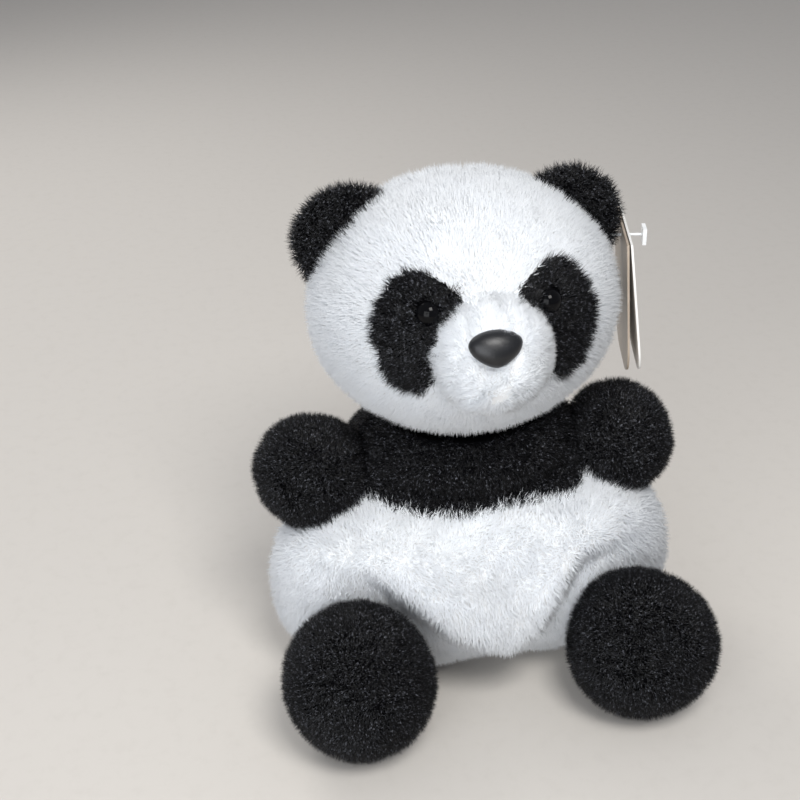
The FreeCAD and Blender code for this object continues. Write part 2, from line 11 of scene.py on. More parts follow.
import bmesh
import bpy
import numpy as np
from mathutils import Matrix, Vector


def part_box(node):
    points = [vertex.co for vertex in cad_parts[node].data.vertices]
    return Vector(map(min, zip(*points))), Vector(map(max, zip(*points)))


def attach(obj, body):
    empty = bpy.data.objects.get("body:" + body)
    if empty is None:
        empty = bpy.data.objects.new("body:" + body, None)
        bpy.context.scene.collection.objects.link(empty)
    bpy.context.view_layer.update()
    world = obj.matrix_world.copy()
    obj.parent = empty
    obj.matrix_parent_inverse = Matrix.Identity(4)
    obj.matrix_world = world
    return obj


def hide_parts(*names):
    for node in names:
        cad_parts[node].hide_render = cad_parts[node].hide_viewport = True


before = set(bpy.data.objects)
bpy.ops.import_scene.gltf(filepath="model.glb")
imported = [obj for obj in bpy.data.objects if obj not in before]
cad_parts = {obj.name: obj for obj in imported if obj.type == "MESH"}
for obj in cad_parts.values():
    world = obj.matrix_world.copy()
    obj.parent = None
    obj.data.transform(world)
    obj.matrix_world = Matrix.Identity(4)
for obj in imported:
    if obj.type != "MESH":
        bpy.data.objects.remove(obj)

LOG = logging.getLogger("panda")
MM = 0.001
FLOOR_GAP = 0.25 * MM
SHADE_PATCH = (0.42, 0.68)
WEAR_PATCH = (0.5, 0.75)
FLECK_FULL = 0.76
Field = Callable[[np.ndarray], np.ndarray]


class Seed(IntEnum):
    """Seeds of the pile's random numbers; a side's sign is added where there are two."""

    HEAD = 11
    PATCH = 21
    MUZZLE = 31
    EAR = 41
    YOKE = 51
    BELLY = 52
    ARM = 61
    LEG = 71
    SLEEVE = 81


class Side(Enum):
    """The panda's own two sides, as the sign of X."""

    LEFT = 1
    RIGHT = -1

    @property
    def word(self) -> str:
        """The side's name as the nodes and bodies spell it."""
        return self.name.lower()


# ---------------------------------------------------------------- shared shader groups


def new_group(name: str, inputs: dict[str, object], outputs: dict[str, str]) -> bpy.types.NodeTree:
    """Start a shader node group with named sockets.

    Args:
        name: the group's name.
        inputs: default value of each input; a tuple makes a colour, a number a float.
        outputs: socket type of each output.

    Returns:
        The group, with its input and output nodes placed.
    """
    tree = bpy.data.node_groups.new(name, "ShaderNodeTree")
    for label, value in inputs.items():
        kind = "NodeSocketColor" if isinstance(value, tuple) else "NodeSocketFloat"
        socket = tree.interface.new_socket(label, in_out="INPUT", socket_type=kind)
        socket.default_value = value
    for label, kind in outputs.items():
        tree.interface.new_socket(label, in_out="OUTPUT", socket_type=kind)
    tree.nodes.new("NodeGroupInput").name = "in"
    tree.nodes.new("NodeGroupOutput").name = "out"
    return tree


def add_node(tree: bpy.types.NodeTree, kind: str, **settings: object) -> bpy.types.Node:
    """Add a node and set its properties, or its input sockets where the name is a socket's."""
    node = tree.nodes.new(kind)
    for key, value in settings.items():
        if hasattr(node, key):
            setattr(node, key, value)
        else:
            node.inputs[key.replace("_", " ")].default_value = value
    return node


def noise_field(tree: bpy.types.NodeTree, scale_from: object, detail: float, rough: float) -> bpy.types.Node:
    """A noise texture on Object coordinates, whose scale is a number or an output socket."""
    place = add_node(tree, "ShaderNodeTexCoord")
    noise = add_node(tree, "ShaderNodeTexNoise", Detail=detail, Roughness=rough)
    tree.links.new(place.outputs["Object"], noise.inputs["Vector"])
    if isinstance(scale_from, (int, float)):
        noise.inputs["Scale"].default_value = scale_from
    else:
        tree.links.new(scale_from, noise.inputs["Scale"])
    return noise


def mix_colours(tree: bpy.types.NodeTree, share: object, first: object, second: object) -> object:
    """Mix two colour sockets by a share socket and return the result socket."""
    mix = add_node(tree, "ShaderNodeMix", data_type="RGBA")
    tree.links.new(share, mix.inputs[0])
    tree.links.new(first, mix.inputs[6])
    tree.links.new(second, mix.inputs[7])
    return mix.outputs[2]


def ramp(tree: bpy.types.NodeTree, value: object, low: float, high: float) -> object:
    """Stretch a value so that low becomes 0 and high becomes 1."""
    reach = add_node(tree, "ShaderNodeMapRange")
    reach.inputs["From Min"].default_value = low
    reach.inputs["From Max"].default_value = high
    tree.links.new(value, reach.inputs["Value"])
    return reach.outputs["Result"]


def make_pile_tone() -> bpy.types.NodeTree:
    """Group for dyed pile: broad shade patches, strand to strand flecks and a matching roughness. On the black pile the
    light flecks are painted glints, specks of highlight put into the base colour.
    """
    tree = new_group(
        "pile_tone",
        {"Dye": (0.8, 0.8, 0.8, 1.0), "Shade": (0.6, 0.6, 0.6, 1.0), "Fleck": (1.0, 1.0, 1.0, 1.0),
         "Patch Scale": 60.0, "Fleck Scale": 1500.0, "Fleck Share": 0.3, "Fleck From": 0.55,
         "Rough Low": 0.5, "Rough High": 0.8},
        {"Colour": "NodeSocketColor", "Roughness": "NodeSocketFloat"},
    )
    given, out = tree.nodes["in"], tree.nodes["out"]
    patches = noise_field(tree, given.outputs["Patch Scale"], 3.0, 0.6)
    patchy = ramp(tree, patches.outputs["Fac"], *SHADE_PATCH)
    broad = mix_colours(tree, patchy, given.outputs["Dye"], given.outputs["Shade"])
    # Lighter flecks on single strands; on the black pile they are painted glints, highlight specks put into the colour.
    flecks = noise_field(tree, given.outputs["Fleck Scale"], 1.0, 0.5)
    fleck = add_node(tree, "ShaderNodeMath", operation="MULTIPLY")
    reach = add_node(tree, "ShaderNodeMapRange")
    reach.inputs["From Max"].default_value = FLECK_FULL
    tree.links.new(flecks.outputs["Fac"], reach.inputs["Value"])
    tree.links.new(given.outputs["Fleck From"], reach.inputs["From Min"])
    tree.links.new(reach.outputs["Result"], fleck.inputs[0])
    tree.links.new(given.outputs["Fleck Share"], fleck.inputs[1])
    tree.links.new(mix_colours(tree, fleck.outputs[0], broad, given.outputs["Fleck"]), out.inputs["Colour"])
    rough = add_node(tree, "ShaderNodeMapRange")
    tree.links.new(flecks.outputs["Fac"], rough.inputs["Value"])
    tree.links.new(given.outputs["Rough High"], rough.inputs["To Min"])
    tree.links.new(given.outputs["Rough Low"], rough.inputs["To Max"])
    tree.links.new(rough.outputs["Result"], out.inputs["Roughness"])
    return tree


def make_weave() -> bpy.types.NodeTree:
    """Group for woven or knitted cloth: crossed threads as a height and a thread mask."""
    tree = new_group(
        "weave", {"Threads": 1400.0, "Unevenness": 0.4}, {"Height": "NodeSocketFloat", "Thread": "NodeSocketFloat"},
    )
    given, out = tree.nodes["in"], tree.nodes["out"]
    place = add_node(tree, "ShaderNodeTexCoord")
    waves = []
    for direction in ("X", "Z"):
        wave = add_node(tree, "ShaderNodeTexWave", bands_direction=direction, Distortion=0.6, Detail=1.0)
        tree.links.new(place.outputs["Object"], wave.inputs["Vector"])
        tree.links.new(given.outputs["Threads"], wave.inputs["Scale"])
        waves.append(wave.outputs["Fac"])
    cross = add_node(tree, "ShaderNodeMath", operation="MAXIMUM")
    tree.links.new(waves[0], cross.inputs[0])
    tree.links.new(waves[1], cross.inputs[1])
    noise = noise_field(tree, 900.0, 2.0, 0.5)
    uneven = add_node(tree, "ShaderNodeMath", operation="MULTIPLY_ADD")
    tree.links.new(noise.outputs["Fac"], uneven.inputs[0])
    tree.links.new(given.outputs["Unevenness"], uneven.inputs[1])
    tree.links.new(cross.outputs[0], uneven.inputs[2])
    tree.links.new(uneven.outputs[0], out.inputs["Height"])
    tree.links.new(cross.outputs[0], out.inputs["Thread"])
    return tree


def make_grain() -> bpy.types.NodeTree:
    """Group for moulded plastic and card: fine grain height, a handling wear mask and a roughness."""
    tree = new_group(
        "grain",
        {"Grain Scale": 2500.0, "Wear Scale": 220.0, "Rough": 0.4, "Rough Spread": 0.12},
        {"Height": "NodeSocketFloat", "Wear": "NodeSocketFloat", "Roughness": "NodeSocketFloat"},
    )
    given, out = tree.nodes["in"], tree.nodes["out"]
    fine = noise_field(tree, given.outputs["Grain Scale"], 2.0, 0.6)
    broad = noise_field(tree, given.outputs["Wear Scale"], 4.0, 0.65)
    tree.links.new(fine.outputs["Fac"], out.inputs["Height"])
    tree.links.new(ramp(tree, broad.outputs["Fac"], *WEAR_PATCH), out.inputs["Wear"])
    rough = add_node(tree, "ShaderNodeMath", operation="MULTIPLY_ADD")
    tree.links.new(broad.outputs["Fac"], rough.inputs[0])
    tree.links.new(given.outputs["Rough Spread"], rough.inputs[1])
    tree.links.new(given.outputs["Rough"], rough.inputs[2])
    tree.links.new(rough.outputs[0], out.inputs["Roughness"])
    return tree


GROUPS = {"pile_tone": make_pile_tone(), "weave": make_weave(), "grain": make_grain()}


def place_group(tree: bpy.types.NodeTree, name: str, **values: object) -> bpy.types.Node:
    """Place a shared group in a material with its own input values."""
    node = tree.nodes.new("ShaderNodeGroup")
    node.node_tree = GROUPS[name]
    for key, value in values.items():
        node.inputs[key.replace("_", " ")].default_value = value
    return node


def start_material(name: str) -> tuple[bpy.types.Material, bpy.types.NodeTree, bpy.types.Node]:
    """A new node material with its Principled shader."""
    material = bpy.data.materials.new(name)
    material.use_nodes = True
    return material, material.node_tree, material.node_tree.nodes["Principled BSDF"]


def bump(tree: bpy.types.NodeTree, shader: bpy.types.Node, height: object, strength: float, depth: float) -> None:
    """Feed a height socket through a Bump node into the shader's normal."""
    node = add_node(tree, "ShaderNodeBump", Strength=strength, Distance=depth)
    tree.links.new(height, node.inputs["Height"])
    tree.links.new(node.outputs["Normal"], shader.inputs["Normal"])


@dataclass(frozen=True)
class PileFinish:
    """Dyed plush pile: its three tones, how large their patches are, and its gloss. On the black pile the fleck tone is
    a painted glint.
    """

    name: str
    dye: tuple[float, float, float]
    shade: tuple[float, float, float]
    # Lighter strand tone; on the black pile it is a painted glint.
    fleck: tuple[float, float, float]
    patch_scale: float = 60.0
    fleck_scale: float = 1500.0
    fleck_share: float = 0.3
    fleck_from: float = 0.55
    rough: tuple[float, float] = (0.55, 0.8)
    sheen: float = 0.3
    sheen_tint: tuple[float, float, float] = (1.0, 1.0, 1.0)
    specular: float = 0.4

    def material(self) -> bpy.types.Material:
        """Build the pile's material."""
        material, tree, shader = start_material(self.name)
        tone = place_group(
            tree, "pile_tone", Dye=(*self.dye, 1.0), Shade=(*self.shade, 1.0), Fleck=(*self.fleck, 1.0),
            Patch_Scale=self.patch_scale, Fleck_Scale=self.fleck_scale, Fleck_Share=self.fleck_share,
            Fleck_From=self.fleck_from, Rough_Low=self.rough[0], Rough_High=self.rough[1],
        )
        tree.links.new(tone.outputs["Colour"], shader.inputs["Base Color"])
        tree.links.new(tone.outputs["Roughness"], shader.inputs["Roughness"])
        shader.inputs["Sheen Weight"].default_value = self.sheen
        shader.inputs["Sheen Tint"].default_value = (*self.sheen_tint, 1.0)
        shader.inputs["Specular IOR Level"].default_value = self.specular
        return material


@dataclass(frozen=True)
class ClothFinish:
    """Backing cloth, sack cloth or satin: a thread weave in two close tones."""

    name: str
    thread: tuple[float, float, float]
    gap: tuple[float, float, float]
    threads: float = 1400.0
    rough: float = 0.85
    sheen: float = 0.2
    depth: float = 0.1 * MM
    specular: float = 0.3

    def material(self) -> bpy.types.Material:
        """Build the cloth's material."""
        material, tree, shader = start_material(self.name)
        weave = place_group(tree, "weave", Threads=self.threads)
        tone = add_node(tree, "ShaderNodeMix", data_type="RGBA")
        tone.inputs[6].default_value = (*self.gap, 1.0)
        tone.inputs[7].default_value = (*self.thread, 1.0)
        tree.links.new(weave.outputs["Thread"], tone.inputs[0])
        tree.links.new(tone.outputs[2], shader.inputs["Base Color"])
        shader.inputs["Roughness"].default_value = self.rough
        shader.inputs["Sheen Weight"].default_value = self.sheen
        shader.inputs["Specular IOR Level"].default_value = self.specular
        bump(tree, shader, weave.outputs["Height"], 0.5, self.depth)
        return material


@dataclass(frozen=True)
class MouldedFinish:
    """Moulded plastic, nylon or card: a base tone, a worn tone, a grain and an optional clear coat."""

    name: str
    base: tuple[float, float, float]
    worn: tuple[float, float, float]
    rough: float = 0.4
    spread: float = 0.12
    grain_scale: float = 2500.0
    grain_depth: float = 0.02 * MM
    coat: float = 0.0
    specular: float = 0.5

    def material(self) -> bpy.types.Material:
        """Build the moulding's material."""
        material, tree, shader = start_material(self.name)
        grain = place_group(tree, "grain", Grain_Scale=self.grain_scale, Rough=self.rough - self.spread / 2,
                            Rough_Spread=self.spread)
        tone = add_node(tree, "ShaderNodeMix", data_type="RGBA")
        tone.inputs[6].default_value = (*self.base, 1.0)
        tone.inputs[7].default_value = (*self.worn, 1.0)
        tree.links.new(grain.outputs["Wear"], tone.inputs[0])
        tree.links.new(tone.outputs[2], shader.inputs["Base Color"])
        tree.links.new(grain.outputs["Roughness"], shader.inputs["Roughness"])
        shader.inputs["Coat Weight"].default_value = self.coat
        shader.inputs["Coat Roughness"].default_value = 0.05
        shader.inputs["Specular IOR Level"].default_value = self.specular
        bump(tree, shader, grain.outputs["Height"], 0.4, self.grain_depth)
        return material


WHITE_PILE = PileFinish(
    "white_plush_pile", (0.84, 0.87, 0.905), (0.80, 0.825, 0.85), (0.93, 0.94, 0.95),
    fleck_share=0.5, rough=(0.6, 0.85), sheen=0.2, specular=0.2,
).material()
# The black pile's light blue-grey fleck tone is a painted glint: highlight specks on the strand tips, put into the base
# colour.
BLACK_PILE = PileFinish(
    "black_plush_pile", (0.0035, 0.0035, 0.0042), (0.0020, 0.0020, 0.0026), (0.26, 0.27, 0.31),
    fleck_scale=1500.0, fleck_share=0.9, fleck_from=0.60, rough=(0.30, 0.50), sheen=0.0, specular=0.27,
).material()
WHITE_CLOTH = ClothFinish("white_backing_cloth", (0.74, 0.75, 0.76), (0.62, 0.62, 0.61)).material()
BLACK_CLOTH = ClothFinish("black_backing_cloth", (0.003, 0.003, 0.004), (0.002, 0.002, 0.002), sheen=0.0,
                         specular=0.05).material()
SACK_CLOTH = ClothFinish("pellet_sack_cloth", (0.72, 0.70, 0.64), (0.5, 0.48, 0.42), threads=900.0).material()
SATIN = ClothFinish("label_satin", (0.86, 0.86, 0.85), (0.78, 0.78, 0.77), threads=3200.0, rough=0.35, sheen=0.4,
                    depth=0.03 * MM).material()
EYE_GLOSS = MouldedFinish("eye_gloss", (0.0015, 0.0015, 0.002), (0.003, 0.003, 0.004), rough=0.10, spread=0.04,
                          grain_depth=0.001 * MM, specular=0.12).material()
NOSE_SATIN = MouldedFinish("nose_satin", (0.004, 0.0045, 0.006), (0.012, 0.013, 0.016), rough=0.38, spread=0.12,
                           grain_scale=3600.0, grain_depth=0.10 * MM).material()
WASHER = MouldedFinish("washer_plastic", (0.75, 0.75, 0.74), (0.85, 0.85, 0.85)).material()
PELLETS = MouldedFinish("plastic_pellets", (0.78, 0.78, 0.76), (0.9, 0.9, 0.88), grain_scale=400.0,
                        grain_depth=0.6 * MM).material()
NYLON = MouldedFinish("tag_nylon", (0.82, 0.84, 0.85), (0.9, 0.91, 0.92), rough=0.3, coat=0.3).material()
CARD_EDGE = MouldedFinish("card_white", (0.86, 0.85, 0.82), (0.78, 0.76, 0.71), rough=0.55,
                          grain_depth=0.03 * MM).material()
CARD_PRINT = MouldedFinish("card_taupe", (0.40, 0.33, 0.26), (0.50, 0.42, 0.34), rough=0.38, grain_depth=0.02 * MM,
                           coat=0.15).material()

# ---------------------------------------------------------------- mesh helpers


def egg_mesh(detail: int) -> bmesh.types.BMesh:
    """A ball of radius 1 in a bmesh, ready to be shaped."""
    form = bmesh.new()
    bmesh.ops.create_icosphere(form, subdivisions=detail, radius=1.0)
    return form


def finish_object(form: bmesh.types.BMesh, name: str, *materials: bpy.types.Material) -> bpy.types.Object:
    """Turn a bmesh into a smooth object at the origin, with outward normals."""
    bmesh.ops.recalc_face_normals(form, faces=form.faces)
    mesh = bpy.data.meshes.new(name)
    form.to_mesh(mesh)
    form.free()
    mesh.shade_smooth()
    for material in materials:
        mesh.materials.append(material)
    piece = bpy.data.objects.new(name, mesh)
    bpy.context.collection.objects.link(piece)
    return piece


def read_points(form: bmesh.types.BMesh) -> np.ndarray:
    """Every vertex place of a bmesh."""
    return np.array([vertex.co[:] for vertex in form.verts])


def write_points(form: bmesh.types.BMesh, places: np.ndarray) -> None:
    """Move every vertex of a bmesh to its new place."""
    for vertex, place in zip(form.verts, places):
        vertex.co = place


def unit(rows: np.ndarray) -> np.ndarray:
    """Each row scaled to length 1."""
    return rows / np.maximum(np.linalg.norm(rows, axis=-1, keepdims=True), 1e-12)


def egg_depth(places: np.ndarray, middle: tuple, half: tuple) -> np.ndarray:
    """Signed distance, close to true near the surface, to an egg with the given half sizes."""
    offset = places - np.array(middle)
    near = np.linalg.norm(offset / np.array(half), axis=1)
    steep = np.linalg.norm(offset / np.array(half) ** 2, axis=1)
    return near * (near - 1) / np.maximum(steep, 1e-9)


def egg_depth_scale(places: np.ndarray, middle: tuple, half: tuple) -> np.ndarray:
    """How many metres one unit of an egg's own level is worth at each place."""
    offset = places - np.array(middle)
    near = np.linalg.norm(offset / np.array(half), axis=1)
    return near / np.maximum(np.linalg.norm(offset / np.array(half) ** 2, axis=1), 1e-9)


def blend_in(first: np.ndarray, second: np.ndarray, width: float) -> np.ndarray:
    """Smooth union of two signed distances over a width."""
    share = np.clip(0.5 + 0.5 * (second - first) / width, 0, 1)
    return second * (1 - share) + first * share - width * share * (1 - share)


def bell(value: np.ndarray, width: float) -> np.ndarray:
    """A soft hump of height 1 about zero."""
    return np.exp(-((value / width) ** 2))


def cast_skin(form: bmesh.types.BMesh, core: tuple, depth: Field, reach: float) -> None:
    """Push each vertex of a unit ball out from a core point to where a signed distance crosses zero."""
    rays = unit(read_points(form))
    near = np.zeros(len(rays))
    far = np.full(len(rays), reach)
    for _ in range(34):
        middle = (near + far) / 2
        inside = depth(np.array(core) + rays * middle[:, None]) < 0
        near = np.where(inside, middle, near)
        far = np.where(inside, far, middle)
    write_points(form, np.array(core) + rays * near[:, None])


# ---------------------------------------------------------------- pile


def strand_template() -> tuple[np.ndarray, np.ndarray]:
    """One strand as a three sided spike: places on a unit length along Z, and its triangles."""
    form = bmesh.new()
    bmesh.ops.create_cone(form, cap_ends=True, segments=3, radius1=1.0, radius2=0.0, depth=1.0)
    bmesh.ops.remove_doubles(form, verts=form.verts, dist=1e-5)
    bmesh.ops.translate(form, verts=form.verts, vec=(0, 0, 0.5))
    bmesh.ops.triangulate(form, faces=form.faces)
    bmesh.ops.recalc_face_normals(form, faces=form.faces)
    form.verts.index_update()
    places = read_points(form)
    faces = np.array([[vertex.index for vertex in face.verts] for face in form.faces])
    form.free()
    return places, faces


STRAND_PLACES, STRAND_FACES = strand_template()
MOST_STRANDS = 49_000


@dataclass(frozen=True)
class Pile:
    """How a patch of pile grows: strands to the square millimetre, sizes, lean and tufting."""

    density: float = 9.0
    length: float = 3.4 * MM
    width: float = 0.17 * MM
    lean: float = 0.7
    stray: float = 0.22
    tuft: float = 0.35
    tuft_size: float = 1.6 * MM
    softness: float = 0.7

    def sway(self, roots: np.ndarray, seed: int) -> np.ndarray:
        """A smooth wandering direction that makes neighbouring strands gather into tufts."""
        rng = np.random.default_rng(seed)
        total = np.zeros_like(roots)
        for octave in range(5):
            wave = rng.normal(size=(3, 3))
            wave = unit(wave) * 2 * math.pi / (self.tuft_size * (1.0 + 0.9 * octave))
            phase = rng.uniform(0, 2 * math.pi, 3)
            total += np.sin(roots @ wave.T + phase)
        return total * self.tuft / 2.2


WHITE_COAT = Pile(density=7.8, length=3.3 * MM, width=0.158 * MM, lean=0.72, stray=0.26, tuft=0.27, tuft_size=2.4 * MM,
                  softness=0.65)
BLACK_COAT = Pile(density=13, length=3.2 * MM, width=0.12 * MM, lean=0.35, stray=0.36, tuft=0.34, tuft_size=2.6 * MM,
                  softness=0.0)


def scatter(skin: bpy.types.Object, density: float, rng: np.random.Generator) -> tuple[np.ndarray, np.ndarray]:
    """Random roots spread evenly by area over a skin, with the skin's smooth normal at each.

    Args:
        skin: the cover that the pile stands on.
        density: strands to the square millimetre.
        rng: the seeded source of random numbers.

    Returns:
        Root places and unit normals, one row for each strand.
    """
    mesh = skin.data
    mesh.calc_loop_triangles()
    corners = np.empty(len(mesh.loop_triangles) * 3, int)
    mesh.loop_triangles.foreach_get("vertices", corners)
    corners = corners.reshape(-1, 3)
    places = np.empty(len(mesh.vertices) * 3)
    mesh.vertices.foreach_get("co", places)
    places = places.reshape(-1, 3)
    normals = np.empty(len(mesh.vertices) * 3)
    mesh.vertices.foreach_get("normal", normals)
    normals = normals.reshape(-1, 3)
    first, second, third = (places[corners[:, k]] for k in range(3))
    areas = np.linalg.norm(np.cross(second - first, third - first), axis=1) / 2
    count = int(areas.sum() / MM ** 2 * density)
    chosen = rng.choice(len(areas), count, p=areas / areas.sum())
    share = rng.random((count, 2))
    flip = share.sum(1) > 1
    share[flip] = 1 - share[flip]
    weights = np.column_stack([1 - share.sum(1), share])[:, :, None]
    roots = (places[corners[chosen]] * weights).sum(1)
    return roots, unit((normals[corners[chosen]] * weights).sum(1))


def lay_pile(
    name: str, skin: bpy.types.Object, pile: Pile, comb: Field, material: bpy.types.Material, seed: int,
    grows: Field | None = None, length_share: Field | None = None,
) -> list[bpy.types.Object]:
    """Cover a skin with pile.

    Args:
        name: the new piece's name.
        skin: the cover that the pile stands on.
        pile: sizes, lean and tufting.
        comb: the way the pile is brushed at each root; shorter than 1, it stands more upright.
        material: the pile's finish.
        seed: seed of the random numbers.
        grows: how sure a strand is to grow at each root, from 0 to 1.
        length_share: the strand's length at each root, as a share of the pile's own.

    Returns:
        The pile as meshes of closed strands, each under the triangle limit.
    """
    rng = np.random.default_rng(seed)
    density = pile.density * 1.0
    roots, normals = scatter(skin, density, rng)
    if grows is not None:
        kept = rng.random(len(roots)) < grows(roots)
        roots, normals = roots[kept], normals[kept]
    count = len(roots)
    brushed = comb(roots)
    brushed = brushed / np.maximum(np.linalg.norm(brushed, axis=1, keepdims=True), 1.0)
    lean = pile.lean + rng.normal(0, 0.16, (count, 1))
    along = normals * np.cos(lean) + brushed * np.sin(lean)
    sway = pile.sway(roots, seed + 1)
    along = unit(along + sway + rng.normal(0, pile.stray, (count, 3)))
    low = (along * normals).sum(1, keepdims=True)
    along = unit(along + normals * np.maximum(0.25 - low, 0))
    length = pile.length * rng.uniform(0.72, 1.08, (count, 1))
    if length_share is not None:
        length = length * length_share(roots)[:, None]
    across = unit(np.cross(along, rng.normal(size=(count, 3))))
    other = np.cross(along, across)
    width = pile.width * rng.uniform(0.75, 1.25, (count, 1))
    base = roots - normals * 0.3 * MM
    places = (
        base[:, None, :]
        + (across * width)[:, None, :] * STRAND_PLACES[None, :, 0:1]
        + (other * width)[:, None, :] * STRAND_PLACES[None, :, 1:2]
        + (along * length)[:, None, :] * STRAND_PLACES[None, :, 2:3]
    )
    places[:, :, 2] = np.maximum(places[:, :, 2], FLOOR_GAP)
    shading = normals * pile.softness + along * (1 - pile.softness) * 0.6
    sides = unit(places - (base[:, None, :] + along[:, None, :] * length[:, None, :] * STRAND_PLACES[None, :, 2:3]))
    is_root = (STRAND_PLACES[:, 2] < 0.5)[None, :, None]
    shading = unit(shading[:, None, :] + np.where(is_root, sides, 0.0) * (1 - pile.softness))
    order = np.argsort(roots[:, 1], kind="stable")
    count = math.ceil(len(order) / MOST_STRANDS)
    pieces = []
    for number, chosen in enumerate(np.array_split(order, count), start=1):
        label = name if count == 1 else f"{name}_{number}"
        pieces.append(strand_mesh(label, places[chosen].reshape(-1, 3), shading[chosen].reshape(-1, 3), material,
                                  pile.softness > 0))
    return pieces


def strand_mesh(
    name: str, places: np.ndarray, shading: np.ndarray, material: bpy.types.Material, soft: bool
) -> bpy.types.Object:
    """Join strands into one mesh, shaded softly like the cover under them or by their own faces."""
    size = len(STRAND_PLACES)
    count = len(places) // size
    corners = (STRAND_FACES[None] + (np.arange(count) * size)[:, None, None]).reshape(-1)
    mesh = bpy.data.meshes.new(name)
    mesh.vertices.add(len(places))
    mesh.vertices.foreach_set("co", places.ravel())
    mesh.loops.add(len(corners))
    mesh.loops.foreach_set("vertex_index", corners)
    mesh.polygons.add(len(corners) // 3)
    mesh.polygons.foreach_set("loop_start", np.arange(0, len(corners), 3))
    mesh.update(calc_edges=True)
    if soft:
        mesh.shade_smooth()
        mesh.normals_split_custom_set_from_vertices(shading)
    mesh.materials.append(material)
    piece = bpy.data.objects.new(name, mesh)
    bpy.context.collection.objects.link(piece)
    LOG.info("%s: %d strands", name, count)
    return piece


def dress(pieces: list[bpy.types.Object], body: str) -> None:
    """Let pieces ride on a body."""
    for piece in pieces:
        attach(piece, body)


def upright(roots: np.ndarray) -> np.ndarray:
    """A comb that brushes nothing, so that the pile stands up from its cover."""
    return np.zeros_like(roots)


# ---------------------------------------------------------------- sub-assemblies


def span(*nodes: str) -> tuple[Vector, Vector]:
    """Lowest and highest corner of several nodes together."""
    boxes = [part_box(node) for node in nodes]
    low = Vector(min(box[0][k] for box in boxes) for k in range(3))
    high = Vector(max(box[1][k] for box in boxes) for k in range(3))
    return low, high


def middle_and_half(*nodes: str) -> tuple[tuple, tuple]:
    """Middle and half sizes of several nodes' shared box."""
    low, high = span(*nodes)
    return tuple((low + high) / 2), tuple((high - low) / 2)


